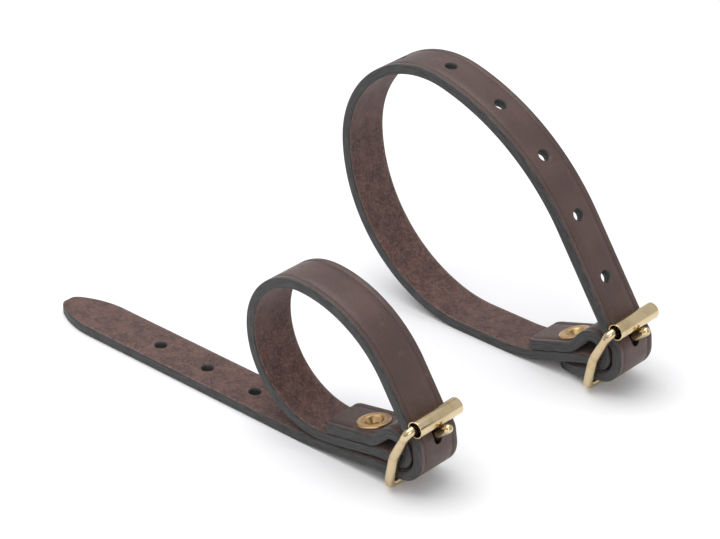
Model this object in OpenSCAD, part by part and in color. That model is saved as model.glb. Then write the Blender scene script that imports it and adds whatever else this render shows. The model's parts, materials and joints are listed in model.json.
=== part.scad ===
// A pair of leather buckle straps: a small loop with a long tail, and a large loop.
// Each strap is one strip that runs, from its pointed end: tail, wrap round the fold, loop, body,
// fold round the buckle's centre bar, flap. X runs from the tail to the buckle, Y across, Z up.

/* [Leather] */
// Width of each strap
strap_w = 20; // [18:0.5:20]
// Thickness of the leather
strap_t = 3.9; // [3.7:0.1:3.9]
// Distance between two punched holes
hole_pitch = 25.2; // [24:0.1:26]
// Diameter of a punched hole
hole_d = 4.2; // [4:0.1:5]
// Number of punched holes
hole_count = 7; // [7:1:7]
// Pointed end to first hole, small strap
small_tip = 53; // [48:0.5:58]
// Pointed end to first hole, large strap
large_tip = 44.2; // [43.8:0.2:44.4]
// Radius of the pointed end's nose
nose_r = 5.5; // [4:0.5:7]
// Length of the taper behind the nose's centre
taper_len = 16.5; // [14:0.5:20]
// Eyelet's centre to the flap's end
flap_end = 17; // [14:0.5:18]

/* [Small loop] */
// Radius of the front of the loop
small_front_r = 49.5; // [48:0.5:51]
// Radius of the top
small_top_r = 25; // [24:0.5:26]
// Radius of the back
small_back_r = 33; // [32:0.5:33.5]
// Radius of the bottom
small_bottom_r = 31.5; // [31:0.5:32]
// Radius of the climb to the buckle
small_climb_r = 35; // [34:0.5:36]
// Turn of the front
small_front_turn = 55; // [54.5:0.5:55.5]
// Turn of the top
small_top_turn = 88.5; // [88:0.5:89]
// Turn of the back
small_back_turn = 68; // [67.5:0.5:68.5]

/* [Large loop] */
// Radius of the front of the loop
large_front_r = 99; // [97:0.5:101]
// Radius of the top
large_top_r = 40; // [39:0.5:41]
// Radius of the back
large_back_r = 63.5; // [62:0.5:65]
// Radius of the bottom
large_bottom_r = 54; // [52:0.5:56]
// Radius of the climb to the buckle
large_climb_r = 60; // [58:0.5:62]
// Turn of the front
large_front_turn = 42.5; // [42:0.5:43]
// Turn of the top
large_top_turn = 105.5; // [105:0.5:106]
// Turn of the back
large_back_turn = 71.5; // [71:0.5:72]

/* [Buckle] */
// Diameter of the frame's bars and arms
bar_d = 3.4; // [3.2:0.1:3.4]
// Height of the centre bar above the ground
bar_z = 16; // [16:0.1:16.4]
// Centre bar to bottom bar
lower_len = 13.6; // [13.5:0.1:13.8]
// Centre bar to top bar
upper_len = 15.8; // [15.6:0.1:16]
// Lean of the frame's lower half, from upright
lower_lean = 12; // [11:1:13]
// Lean of the frame's upper half, from upright
upper_lean = 29; // [28:1:30]
// Outer diameter of the roller
roller_d = 6.5; // [6.3:0.1:6.6]
// Length of the roller
roller_len = 22.4; // [21:0.2:22.4]
// Thickness of the roller's wall
roller_wall = 0.5; // [0.4:0.05:0.5]
// Angle of the tongue above level
tongue_angle = 40; // [39:0.5:40]
// Centre bar to the tongue's end
tongue_reach = 20.3; // [18:0.1:21]
// Diameter of the tongue
tongue_d = 3.4; // [3:0.1:3.4]

/* [Pair] */
// Distance between the two straps' centre lines
pair_gap = 100; // [60:1:160]
// Large buckle's lead over the small one
pair_lead = 10.7; // [0:0.1:30]

/* [Hidden] */
$fn = 96;
// Lists of two hold the small strap's value and then the large strap's.
SMALL = 0;
LARGE = 1;

// Radii of the path are those of the leather's centre line.
bar_r = bar_d / 2;
running_gap = 0.08;
layer = strap_t + 0.2;
grip = strap_t + layer;
fold_r = bar_r + running_gap + strap_t / 2;
wrap_r = 8.65;
wrap_turn = [98, 94];
rise = [4.3, 3.3];
over_r = 4.5;
over_turn = 43;
counter_r = [19, 15];
counter_turn = [18, 13.5];
loop_r = [[small_front_r, small_top_r, small_back_r, small_bottom_r],
          [large_front_r, large_top_r, large_back_r, large_bottom_r]];
climb_r = [small_climb_r, large_climb_r];
loop_turn = [[small_front_turn, small_top_turn, small_back_turn],
             [large_front_turn, large_top_turn, large_back_turn]];
body_slope = [11, 18.5];
body_bend_r = [30, 16];
body_level = [6.5, 3.5];
clip_r = 3;
crest_r = 6.5;
crest_slope = [45, 52];
fold_turn = 110;
fold_rise = [0.9, 1.5];
// Distances back along the body's straight run: to where the flap has come down, and the eyelet
flap_down = [1.5, 5];
eyelet_along = [7.3, 8.3];
// Height of the loop's underside where it is lowest: over its own tail, or on the ground
rest = [5.25, 0];

// Tail: its slope over the bottom bar, then behind it, and the bends between
bar_slope = [4, 7];
tail_slope = [7, 17];
over_bar = [6, 4.5];
bar_bend_r = 15;
ground_bend_r = [60, 12];
tip = [small_tip, large_tip];
// Holes on the tail, and on the loop, beside the one the tongue is in
tail_holes = [hole_count - 1, 0];
loop_holes = [0, hole_count - 1];

// Buckle frame
arm_gap = 0.4;
arm_y = strap_w / 2 + arm_gap + bar_r;
arm_flare = 2;
corner_r = 2.4;
corner_rod_r = bar_r + 0.1;
corner_lap = 0.4;
boss_r = 2.05;
boss_len = 3.6;
top_bar = upper_len * [sin(upper_lean), cos(upper_lean)];
roller_r = roller_d / 2;
// The roller hangs from the top bar, pushed forward by the strap behind it
roller_shift = [0.9, 0.3];
roller_at = top_bar + roller_shift;

// Tongue, with an eye on the centre bar
eye_r = 3.2;
eye_w = tongue_d - 0.4;
eye_bore_r = bar_r + 0.06;
tongue_r = tongue_d / 2;
point_r = 1.1;
point_len = 1.2;
slot_w = tongue_d + 0.8;
slot_r = 6.2;
slot_back = 3.7;
slot_top = 9.3;
// Corners of the slot's front edge, above the bar
slot_front = [[4.34, 7.13], [1.86, slot_top]];
// Tongue's hole: how far it reaches above and below the tongue's line
hole_up = 2.5;
hole_down = 3.5;

// Eyelet and its ring, with heights along the eyelet's axis from the flap's grain face
rim_r = 6.5;
rim_h = 0.75;
rim_bevel = [0.5, 0.2];
rim_flat = 1.2;
dish_wall = 0.4;
dish_r = 4.5;
dish_depth = 1.7;
barrel_r = 2.8;
barrel_wall = 0.5;
ring_r = 5.2;
ring_t = 0.4;
clench_r = 4.1;
clench_t = 0.4;
seat = 0.02;
spare = 0.3;

// Finest turn of the leather's outline, and the points on a small round corner
turn_step = 5;
arc_steps = 8;

// A run of the path is [radius, turn], or [0, length] where it is straight.
// A place is [x, z, heading], about the centre bar.
function unit(h) = [cos(h), sin(h)];
function xz(p) = [p.x, p.y];
function run_len(run) = run[0] == 0 ? run[1] : run[0] * abs(run[1]) * PI / 180;
function total(runs, i = 0) = i == len(runs) ? 0 : run_len(runs[i]) + total(runs, i + 1);
function step(p, run) =
    run[0] == 0
    ? [p.x + run[1] * cos(p.z), p.y + run[1] * sin(p.z), p.z]
    : let (r = sign(run[1]) * run[0], h = p.z + run[1])
      [p.x + r * (sin(h) - sin(p.z)), p.y - r * (cos(h) - cos(p.z)), h];
function walk(p, runs, i = 0) = i == len(runs) ? p : walk(step(p, runs[i]), runs, i + 1);
function places(p, runs) = [for (i = [0:len(runs)]) walk(p, [for (j = [0:1:i - 1]) runs[j]])];
function beside(p, off) = xz(p) + off * [-sin(p.z), cos(p.z)];
function reversed(list) = [for (i = [len(list) - 1:-1:0]) list[i]];
function arc(centre, r, from, to) =
    [for (i = [0:arc_steps]) centre + r * unit(from + (to - from) * i / arc_steps)];
// One edge of the leather along the runs, `off` to the left of the path, without its first point
function run_steps(run) = run[0] == 0 ? 1 : ceil(abs(run[1]) / turn_step);
function edge(p, runs, off) =
    let (at = places(p, runs))
    [for (i = [0:len(runs) - 1], n = run_steps(runs[i]), j = [1:n])
        beside(step(at[i], [runs[i][0], runs[i][1] * j / n]), off)];
// The place a distance s along the runs
function along(p, runs, s, i = 0) =
    let (n = run_len(runs[i]))
    s <= n
    ? step(p, [runs[i][0], runs[i][0] == 0 ? s : runs[i][1] * s / n])
    : along(step(p, runs[i]), runs, s - n, i + 1);
// The lengths a and b that make a * u + b * v equal d
function two_lengths(d, u, v) =
    let (k = u.x * v.y - u.y * v.x)
    [(d.x * v.y - d.y * v.x) / k, (u.x * d.y - u.y * d.x) / k];

// Wrap: from over the bottom bar, round the fold, up past the tongue, and back behind the roller
function wrap_start(k) = let (a = bar_slope[k]) [wrap_r * sin(a), -wrap_r * cos(a), a];
function wrap_runs(k) =
    [[wrap_r, wrap_turn[k] - bar_slope[k]], [0, rise[k]], [over_r, over_turn],
     [counter_r[k], -counter_turn[k]]];
function front_heading(k) = wrap_turn[k] + over_turn - counter_turn[k];

// Loop: its front, top, back and bottom, a level stretch, and the body's climb up to the fold.
// Three straight runs are as long as closes it: the front, the level stretch and the climb.
function round_runs(k) =
    let (r = loop_r[k], a = loop_turn[k])
    [[r[0], a[0]], [r[1], a[1]], [r[2], a[2]], [r[3], 360 - front_heading(k) - a[0] - a[1] - a[2]]];
function body_runs(k) = [[body_bend_r[k], -body_slope[k]], [0, body_level[k]]];
function straights(k) =
    let (h = front_heading(k), s = body_slope[k],
         over = xz(walk(wrap_start(k), wrap_runs(k))) + xz(walk([0, 0, h], round_runs(k))),
         under = xz(walk([0, 0, 0], [[climb_r[k], s]])) + xz(walk([0, 0, s], body_runs(k))),
         lowest = rest[k] + strap_t / 2 - bar_z,
         front = (lowest - over.y) / sin(h),
         climb = (-fold_r - lowest - under.y) / sin(s))
    [front, -(over.x + front * cos(h) + under.x + climb * cos(s)), climb];
function loop_runs(k) =
    let (s = straights(k))
    concat(wrap_runs(k), [[0, s[0]]], round_runs(k), [[0, s[1]], [climb_r[k], body_slope[k]], [0, s[2]]],
           body_runs(k));

// Flap: round the bar, over the tongue's eye, down onto the body, and along it
function round_bar(k) =
    [[fold_r, fold_turn], [0, fold_rise[k]], [crest_r, 180 + crest_slope[k] - fold_turn]];
function body_up(k) = [-sin(body_slope[k]), cos(body_slope[k])];
function body_back(k) = [-cos(body_slope[k]), -sin(body_slope[k])];
function body_start(k) =
    [-body_level[k] - body_bend_r[k] * sin(body_slope[k]),
     -fold_r - body_bend_r[k] * (1 - cos(body_slope[k]))];
function flap_runs(k) =
    let (s = body_slope[k], c = crest_slope[k],
         down = body_start(k) + flap_down[k] * body_back(k) + layer * body_up(k),
         n = two_lengths(down - xz(walk([0, -fold_r, 0], round_bar(k))), unit(180 + c),
                         [sin(s) - sin(c), cos(c) - cos(s)]),
         level = straights(k)[2] - flap_down[k],
         curved = eyelet_along[k] + flap_end - straights(k)[2],
         r = climb_r[k] - layer)
    concat(round_bar(k), [[0, n[0]], [n[1], s - c], [0, level], [r, -curved * 180 / PI / r]]);

// Distance along the wrap at which the tongue's line crosses its upper bend
function tongue_at(k) =
    let (runs = [wrap_runs(k)[0], wrap_runs(k)[1]], p = walk(wrap_start(k), runs),
         c = beside(p, over_r), u = unit(tongue_angle), m = c * u,
         hit = (m + sqrt(over_r * over_r - c * c + m * m)) * u - c)
    total(runs) + over_r * (atan2(hit.y, hit.x) + 90 - p.z) * PI / 180;

// Tail: from the wrap, over the bottom bar, down to the ground, and level to the pointed end
function tail_start(k) = wrap_start(k) + [0, 0, 180];
function tail_runs(k) =
    let (a = bar_slope[k], b = tail_slope[k],
         drop = bar_z + wrap_start(k).y - strap_t / 2 - over_bar[k] * sin(a)
                - bar_bend_r * (cos(a) - cos(b)) - ground_bend_r[k] * (1 - cos(b)),
         down = [[0, over_bar[k]], [bar_bend_r, b - a], [0, drop / sin(b)], [ground_bend_r[k], -b]])
    concat(down, [[0, tail_holes[k] * hole_pitch + tip[k] - tongue_at(k) - total(down)]]);
function strip_runs(k) = concat(loop_runs(k), flap_runs(k));

// The origin is on the ground, midway between the long tail's end and the large tongue's
far_left = walk(tail_start(SMALL), tail_runs(SMALL)).x;
far_right = pair_lead + tongue_reach * cos(tongue_angle) + point_r * sin(tongue_angle);
small_at = [-(far_left + far_right) / 2, -pair_gap / 2, bar_z];
bar_at = [small_at, small_at + [pair_lead, pair_gap, 0]];

// The whole strip of leather from the side, from the tail's end to the flap's
module strip_outline(k) {
    half = strap_t / 2;
    tail = [tail_start(k), tail_runs(k)];
    strip = [wrap_start(k), strip_runs(k)];
    polygon(concat(reversed(edge(tail[0], tail[1], -half)), [beside(strip[0], half)],
                   edge(strip[0], strip[1], half), reversed(edge(strip[0], strip[1], -half)),
                   [beside(strip[0], -half)], edge(tail[0], tail[1], half)));
}

// The tail from the side, a little thicker and longer than it is
module tail_outline(k) {
    half = strap_t / 2 + spare;
    start = tail_start(k);
    runs = concat(tail_runs(k), [[0, 1]]);
    polygon(concat([beside(start, half)], edge(start, runs, half),
                   reversed(edge(start, runs, -half)), [beside(start, -half)]));
}

// Puts things at a place on the path, with Z along the leather's normal
module on_path(p) {
    translate([p.x, 0, p.y]) rotate([0, -p.z, 0]) children();
}

module punch(p) {
    on_path(p) cylinder(h = strap_t + 2, d = hole_d, center = true);
}

// An oblong hole along the tongue's line, longer below it, where the tongue comes through the wrap
module tongue_hole() {
    r = hole_d / 2;
    rotate([0, 90 - tongue_angle, 0]) translate([0, 0, slot_r]) linear_extrude(2 * strap_t + 2)
        polygon(concat(arc([hole_down - r, 0], r, -90, 90), arc([r - hole_up, 0], r, 90, 270)));
}

// The slot in the fold that the tongue's eye sits in
module tongue_slot() {
    rotate([90, 0, 0]) linear_extrude(slot_w, center = true)
        polygon(concat([[-slot_back, slot_top], [-slot_back, -slot_r]], arc([0, 0], slot_r, -90, 45),
                       slot_front));
}

// What is cut away round the pointed end, seen from above, with the end at x = 0
module tip_waste() {
    half = strap_w / 2;
    side_r = (taper_len * taper_len + half * half - nose_r * nose_r) / (2 * (half - nose_r));
    shoulder = nose_r + taper_len;
    joint = atan2(side_r - half, -taper_len);
    nose = arc([nose_r, 0], nose_r, 180, joint);
    flank = arc([shoulder, half - side_r], side_r, joint, 90);
    for (side = [0, 1])
        mirror([0, side, 0]) polygon(concat([[-1, 0]], nose, [for (i = [1:arc_steps]) flank[i]],
                                            [[shoulder, half + 1], [-1, half + 1]]));
}

// What is cut away at the flap's corners, with the end at x = 0 and the flap at negative x
module flap_waste() {
    half = strap_w / 2;
    for (side = [0, 1])
        mirror([0, side, 0]) polygon(concat(arc([-clip_r, half - clip_r], clip_r, 0, 90),
                                            [[-clip_r, half + 1], [1, half + 1], [1, half - clip_r]]));
}

// Puts things on the eyelet's axis, with their zero at the flap's grain face
module on_eyelet(k) {
    at = body_start(k) + eyelet_along[k] * body_back(k) + (layer + strap_t / 2) * body_up(k);
    translate([at.x, 0, at.y]) rotate([0, -body_slope[k], 0]) children();
}

module strap(k) {
    color("saddlebrown") translate(bar_at[k]) difference() {
        rotate([90, 0, 0]) linear_extrude(strap_w, center = true) strip_outline(k);
        for (i = [1:1:tail_holes[k]])
            punch(along(tail_start(k), tail_runs(k), i * hole_pitch - tongue_at(k)));
        for (i = [1:1:loop_holes[k]])
            punch(along(wrap_start(k), loop_runs(k), i * hole_pitch + tongue_at(k)));
        tongue_hole();
        tongue_slot();
        on_eyelet(k) {
            cylinder(h = strap_t, r = rim_r + running_gap);
            translate([0, 0, -grip - 1]) cylinder(h = grip + 2, r = barrel_r + seat);
            translate([0, 0, -dish_depth])
                cylinder(h = dish_depth, r1 = barrel_r + seat, r2 = dish_r + seat);
        }
        intersection() {
            rotate([90, 0, 0]) linear_extrude(strap_w + 1, center = true) tail_outline(k);
            translate([walk(tail_start(k), tail_runs(k)).x, 0, -2 * bar_z])
                linear_extrude(2 * bar_z) tip_waste();
        }
        on_path(walk(wrap_start(k), strip_runs(k)))
            linear_extrude(strap_t + 2 * seat, center = true) flap_waste();
    }
}

// One rod of the frame, between two points of its flat plan
module rod(a, b) {
    d = b - a;
    translate([a.x, a.y, 0]) rotate([0, 0, atan2(d.y, d.x)]) rotate([0, 90, 0])
        cylinder(h = norm(d), r = bar_r);
}

// One end of the frame, as a flat plan: two arms from y = 0 that flare by `flare`, and a bar.
// The corners are a little thicker than the rods, which lap into them.
module frame_end(reach, flare) {
    lean = atan(flare / reach);
    corner = [arm_y + flare, reach];
    cut = corner_r * tan((90 + lean) / 2);
    arm_end = corner - (cut - corner_lap) * [sin(lean), cos(lean)];
    bend_at = corner - cut * [sin(lean), cos(lean)] - corner_r * [cos(lean), -sin(lean)];
    for (side = [0, 1])
        mirror([side, 0, 0]) {
            rod([arm_y, 0], arm_end);
            translate([bend_at.x, bend_at.y, 0]) rotate([0, 0, -lean])
                rotate_extrude(angle = 90 + lean) translate([corner_r, 0]) circle(corner_rod_r);
        }
    rod([-corner.x + cut - corner_lap, reach], [corner.x - cut + corner_lap, reach]);
}

module buckle_frame(k) {
    color("goldenrod") translate(bar_at[k]) {
        rotate([90 + upper_lean, 0, 90]) frame_end(upper_len, arm_flare);
        rotate([lower_lean - 90, 0, 90]) frame_end(lower_len, 0);
        rotate([90, 0, 0]) {
            for (y = [-arm_y, arm_y])
                translate([0, 0, y]) cylinder(h = boss_len, r = boss_r, center = true);
            cylinder(h = 2 * arm_y, r = bar_r, center = true);
        }
    }
}

module roller(k) {
    color("gold") translate(bar_at[k] + [roller_at.x, 0, roller_at.y]) rotate([90, 0, 0])
        difference() {
            cylinder(h = roller_len, r = roller_r, center = true);
            cylinder(h = roller_len + 1, r = roller_r - roller_wall, center = true);
        }
}

module tongue(k) {
    shank = tongue_reach - point_len;
    color("darkgoldenrod") translate(bar_at[k]) difference() {
        union() {
            rotate([90, 0, 0]) cylinder(h = eye_w, r = eye_r, center = true);
            rotate([0, 90 - tongue_angle, 0]) rotate_extrude()
                polygon([[0, 0], [tongue_r, 0], [tongue_r, shank], [point_r, tongue_reach],
                         [0, tongue_reach]]);
        }
        rotate([90, 0, 0]) cylinder(h = tongue_d + 1, r = eye_bore_r, center = true);
    }
}

module eyelet(k) {
    inner = barrel_r - barrel_wall;
    end = -grip - ring_t - clench_t - 2 * seat;
    color("gold") translate(bar_at[k]) on_eyelet(k) rotate_extrude()
        polygon([[inner, end], [clench_r, end], [clench_r, end + clench_t], [barrel_r, end + clench_t],
                 [barrel_r, -dish_depth], [dish_r, seat], [rim_r, seat], [rim_r, rim_h - rim_bevel[1]],
                 [rim_r - rim_bevel[0], rim_h], [rim_r - rim_flat, rim_h],
                 [inner, dish_wall - dish_depth]]);
}

module clench_ring(k) {
    color("goldenrod") translate(bar_at[k]) on_eyelet(k)
        translate([0, 0, -grip - seat - ring_t]) difference() {
            cylinder(h = ring_t, r = ring_r);
            translate([0, 0, -1]) cylinder(h = ring_t + 2, r = barrel_r + seat);
        }
}

strap(SMALL);  // small_strap
buckle_frame(SMALL);  // small_buckle_frame
roller(SMALL);  // small_roller
tongue(SMALL);  // small_tongue
eyelet(SMALL);  // small_eyelet
clench_ring(SMALL);  // small_clench_ring
strap(LARGE);  // large_strap
buckle_frame(LARGE);  // large_buckle_frame
roller(LARGE);  // large_roller
tongue(LARGE);  // large_tongue
eyelet(LARGE);  // large_eyelet
clench_ring(LARGE);  // large_clench_ring
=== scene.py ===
"""Looks for a pair of leather buckle straps: a small loop with a long tail, and a large loop."""

import json
import logging
import math
from collections.abc import Callable
from dataclasses import dataclass, field
from enum import Enum

import bmesh
import bpy
from mathutils import Matrix, Vector

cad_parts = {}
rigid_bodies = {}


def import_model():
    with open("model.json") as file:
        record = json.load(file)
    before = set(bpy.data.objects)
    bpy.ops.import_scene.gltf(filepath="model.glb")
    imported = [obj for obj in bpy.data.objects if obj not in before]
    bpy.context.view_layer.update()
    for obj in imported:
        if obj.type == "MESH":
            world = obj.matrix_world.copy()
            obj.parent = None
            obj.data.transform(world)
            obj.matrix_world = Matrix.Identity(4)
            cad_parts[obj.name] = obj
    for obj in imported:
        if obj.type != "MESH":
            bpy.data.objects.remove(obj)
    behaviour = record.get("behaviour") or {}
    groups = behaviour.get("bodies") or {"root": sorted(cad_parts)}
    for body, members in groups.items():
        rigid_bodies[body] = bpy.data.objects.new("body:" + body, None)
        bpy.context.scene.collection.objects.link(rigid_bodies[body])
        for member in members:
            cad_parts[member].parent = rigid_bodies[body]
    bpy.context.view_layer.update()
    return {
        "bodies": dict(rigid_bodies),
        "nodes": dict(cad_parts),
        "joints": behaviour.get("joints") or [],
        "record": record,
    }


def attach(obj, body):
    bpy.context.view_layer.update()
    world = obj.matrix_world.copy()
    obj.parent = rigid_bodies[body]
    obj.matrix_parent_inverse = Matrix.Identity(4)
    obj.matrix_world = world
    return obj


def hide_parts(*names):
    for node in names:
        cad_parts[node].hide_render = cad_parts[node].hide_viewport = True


log = logging.getLogger("straps")

MM = 0.001
STRIP_UV = "strip"
EYELET_CRISP = 45.0
LEATHER_CRISP = 38.0

Run = tuple[float, float]
Place = tuple[float, float, float]
Profile = list[tuple[float, float]]


class Side(Enum):
    """The leather's surfaces, in the order of a strap's material slots."""

    GRAIN = 0
    FLESH = 1
    EDGE = 2


# ---------------------------------------------------------------- the leather's path


def step(place: Place, run: Run) -> Place:
    """Moves a place along one run.

    Args:
        place: x, z and heading in degrees.
        run: Radius and turn in degrees, or 0 and a length.

    Returns:
        The place at the run's end.
    """
    x, z, heading = place
    radius, amount = run
    if radius == 0:
        turn = math.radians(heading)
        return x + amount * math.cos(turn), z + amount * math.sin(turn), heading
    signed = math.copysign(radius, amount)
    before, after = math.radians(heading), math.radians(heading + amount)
    return (
        x + signed * (math.sin(after) - math.sin(before)),
        z - signed * (math.cos(after) - math.cos(before)),
        heading + amount,
    )


def walk(place: Place, runs: list[Run]) -> Place:
    """Moves a place along several runs, and returns where it ends."""
    for run in runs:
        place = step(place, run)
    return place


def run_length(run: Run) -> float:
    """Returns how long a run is."""
    return run[1] if run[0] == 0 else run[0] * math.radians(abs(run[1]))


def length_of(runs: list[Run]) -> float:
    """Returns how long several runs are together."""
    return sum(run_length(run) for run in runs)


def unit(heading: float) -> Vector:
    """Returns the direction of a heading in degrees."""
    return Vector((math.cos(math.radians(heading)), math.sin(math.radians(heading))))


def two_lengths(reach: Vector, first: Vector, second: Vector) -> tuple[float, float]:
    """Finds how much of two directions makes a reach.

    Args:
        reach: What the two together have to make.
        first: One direction.
        second: The other direction.

    Returns:
        The amount of each direction.
    """
    cross = first.x * second.y - first.y * second.x
    return (
        (reach.x * second.y - reach.y * second.x) / cross,
        (first.x * reach.y - first.y * reach.x) / cross,
    )


@dataclass
class Lay:
    """How one strap lies: its bends, in millimetres and degrees, about the centre bar."""

    wrap_turn: float
    rise: float
    counter: Run
    front: Run
    top: Run
    back: Run
    bottom_r: float
    climb_r: float
    rest: float
    body_slope: float
    body_bend_r: float
    body_level: float
    crest_slope: float
    fold_rise: float
    flap_down: float
    eyelet_along: float
    bar_slope: float
    tail_slope: float
    over_bar: float
    ground_bend_r: float
    tip: float
    tail_holes: int
    loop_holes: int
    width: float = 20.0
    thick: float = 3.9
    pitch: float = 25.2
    hole_r: float = 2.1
    wrap_r: float = 8.65
    over: Run = (4.5, 43.0)
    bar_bend_r: float = 15.0
    fold_r: float = 3.73
    fold_turn: float = 110.0
    crest_r: float = 6.5
    layer_gap: float = 0.2
    flap_end: float = 17.0
    bar_z: float = 16.0
    tongue_angle: float = 40.0

    @property
    def layer(self) -> float:
        """Distance between the centre lines of two layers that lie on each other."""
        return self.thick + self.layer_gap

    def wrap_start(self) -> Place:
        """Returns where the wrap leaves the tail."""
        down = unit(self.bar_slope - 90) * self.wrap_r
        return down.x, down.y, self.bar_slope

    def wrap(self) -> list[Run]:
        """Returns the runs round the fold and up behind the roller."""
        return [
            (self.wrap_r, self.wrap_turn - self.bar_slope),
            (0, self.rise),
            self.over,
            (self.counter[0], -self.counter[1]),
        ]

    def tongue_at(self) -> float:
        """Returns the distance along the wrap at which the tongue's line crosses it."""
        runs = self.wrap()[:2]
        x, z, heading = walk(self.wrap_start(), runs)
        radius = self.over[0]
        centre = Vector((x, z)) + radius * unit(heading + 90)
        line = unit(self.tongue_angle)
        near = centre.dot(line)
        hit = (near + math.sqrt(radius**2 - centre.dot(centre) + near**2)) * line - centre
        turned = math.degrees(math.atan2(hit.y, hit.x)) + 90 - heading
        return length_of(runs) + radius * math.radians(turned)

    def tail(self) -> list[Run]:
        """Returns the tail's runs, from the pointed end to the wrap."""
        near, far = math.radians(self.bar_slope), math.radians(self.tail_slope)
        drop = (
            self.bar_z - self.wrap_r * math.cos(near) - self.thick / 2
            - self.over_bar * math.sin(near)
            - self.bar_bend_r * (math.cos(near) - math.cos(far))
            - self.ground_bend_r * (1 - math.cos(far))
        )
        runs: list[Run] = [
            (self.ground_bend_r, self.tail_slope),
            (0, drop / math.sin(far)),
            (self.bar_bend_r, self.bar_slope - self.tail_slope),
            (0, self.over_bar),
        ]
        flat = self.tail_holes * self.pitch + self.tip - self.tongue_at() - length_of(runs)
        return [(0, flat), *runs]

    def body(self) -> list[Run]:
        """Returns the runs from the climb's top to the fold."""
        return [(self.body_bend_r, -self.body_slope), (0, self.body_level)]

    def loop(self) -> list[Run]:
        """Returns the loop's runs, with the straight ones as long as closes it."""
        heading = self.wrap_turn + self.over[1] - self.counter[1]
        round_turn = 360 - heading - self.front[1] - self.top[1] - self.back[1]
        arcs = [self.front, self.top, self.back, (self.bottom_r, round_turn)]
        over = Vector(walk(self.wrap_start(), self.wrap())[:2])
        over += Vector(walk((0, 0, heading), arcs)[:2])
        climb_arc: Run = (self.climb_r, self.body_slope)
        under = Vector(walk((0, 0, 0), [climb_arc])[:2])
        under += Vector(walk((0, 0, self.body_slope), self.body())[:2])
        lowest = self.rest + self.thick / 2 - self.bar_z
        front = (lowest - over.y) / unit(heading).y
        climb = (-self.fold_r - lowest - under.y) / unit(self.body_slope).y
        level = -(over.x + under.x + front * unit(heading).x + climb * unit(self.body_slope).x)
        return [*self.wrap(), (0, front), *arcs, (0, level), climb_arc, (0, climb), *self.body()]

    def flap(self) -> list[Run]:
        """Returns the runs round the bar, over the tongue's eye and back along the body."""
        slope, crest = self.body_slope, self.crest_slope
        round_bar: list[Run] = [
            (self.fold_r, self.fold_turn),
            (0, self.fold_rise),
            (self.crest_r, 180 + crest - self.fold_turn),
        ]
        start = self.body_start() - self.flap_down * unit(slope) + self.layer * unit(slope + 90)
        ease = Vector((unit(slope).y - unit(crest).y, unit(crest).x - unit(slope).x))
        crest_end = Vector(walk((0, -self.fold_r, 0), round_bar)[:2])
        fall, ease_r = two_lengths(start - crest_end, unit(180 + crest), ease)
        climb = self.loop()[-3][1]
        curved = self.eyelet_along + self.flap_end - climb
        radius = self.climb_r - self.layer
        return [
            *round_bar, (0, fall), (ease_r, slope - crest), (0, climb - self.flap_down),
            (radius, -math.degrees(curved / radius)),
        ]

    def body_start(self) -> Vector:
        """Returns where the body's straight run meets its bend."""
        slope = math.radians(self.body_slope)
        return Vector((
            -self.body_level - self.body_bend_r * math.sin(slope),
            -self.fold_r - self.body_bend_r * (1 - math.cos(slope)),
        ))

    def runs(self) -> list[Run]:
        """Returns every run of the strip, from the pointed end to the flap's end."""
        return [*self.tail(), *self.loop(), *self.flap()]

    def start(self) -> Place:
        """Returns the place of the pointed end."""
        back = [(r, -a) if r else (0, a) for r, a in reversed(self.tail())]
        x, z, heading = self.wrap_start()
        tip = walk((x, z, heading + 180), back)
        return tip[0], tip[1], 0.0

    def wrap_at(self) -> float:
        """Returns the distance from the pointed end to the wrap."""
        return length_of(self.tail())

    def holes(self) -> list[float]:
        """Returns the distances from the pointed end to the punched holes beside the tongue's."""
        tongue = self.wrap_at() + self.tongue_at()
        back = [tongue - i * self.pitch for i in range(1, self.tail_holes + 1)]
        return back + [tongue + i * self.pitch for i in range(1, self.loop_holes + 1)]

    def eyelet_frame(self, bar: Vector) -> Matrix:
        """Returns the eyelet's place, with Z out of the flap.

        Args:
            bar: The centre bar's place, in metres.
        """
        up, back = unit(self.body_slope + 90), unit(self.body_slope + 180)
        at = self.body_start() + self.eyelet_along * back + (self.layer + self.thick / 2) * up
        turn = Matrix.Rotation(-math.radians(self.body_slope), 4, "Y")
        return Matrix.Translation(bar + Vector((at.x, 0, at.y)) * MM) @ turn


SMALL_LAY = Lay(
    wrap_turn=98, rise=4.3, counter=(19, 18), front=(49.5, 55), top=(25, 88.5), back=(33, 68),
    bottom_r=31.5, climb_r=35, rest=5.25, body_slope=11, body_bend_r=30, body_level=6.5,
    crest_slope=45, fold_rise=0.9, flap_down=1.5, eyelet_along=7.3, bar_slope=4, tail_slope=7,
    over_bar=6, ground_bend_r=60, tip=53, tail_holes=6, loop_holes=0,
)
LARGE_LAY = Lay(
    wrap_turn=94, rise=3.3, counter=(15, 13.5), front=(99, 42.5), top=(40, 105.5),
    back=(63.5, 71.5), bottom_r=54, climb_r=60, rest=0, body_slope=18.5, body_bend_r=16,
    body_level=3.5, crest_slope=52, fold_rise=1.5, flap_down=5, eyelet_along=8.3, bar_slope=7,
    tail_slope=17, over_bar=4.5, ground_bend_r=12, tip=44.2, tail_holes=0, loop_holes=6,
)

# ---------------------------------------------------------------- shader building


def srgb(red: int, green: int, blue: int) -> tuple[float, float, float, float]:
    """Returns a colour given in 0 to 255 as the linear values that a shader takes."""
    def linear(value: int) -> float:
        """Returns one channel's linear value."""
        part = value / 255
        return part / 12.92 if part <= 0.04045 else ((part + 0.055) / 1.055) ** 2.4

    return linear(red), linear(green), linear(blue), 1.0


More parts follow.
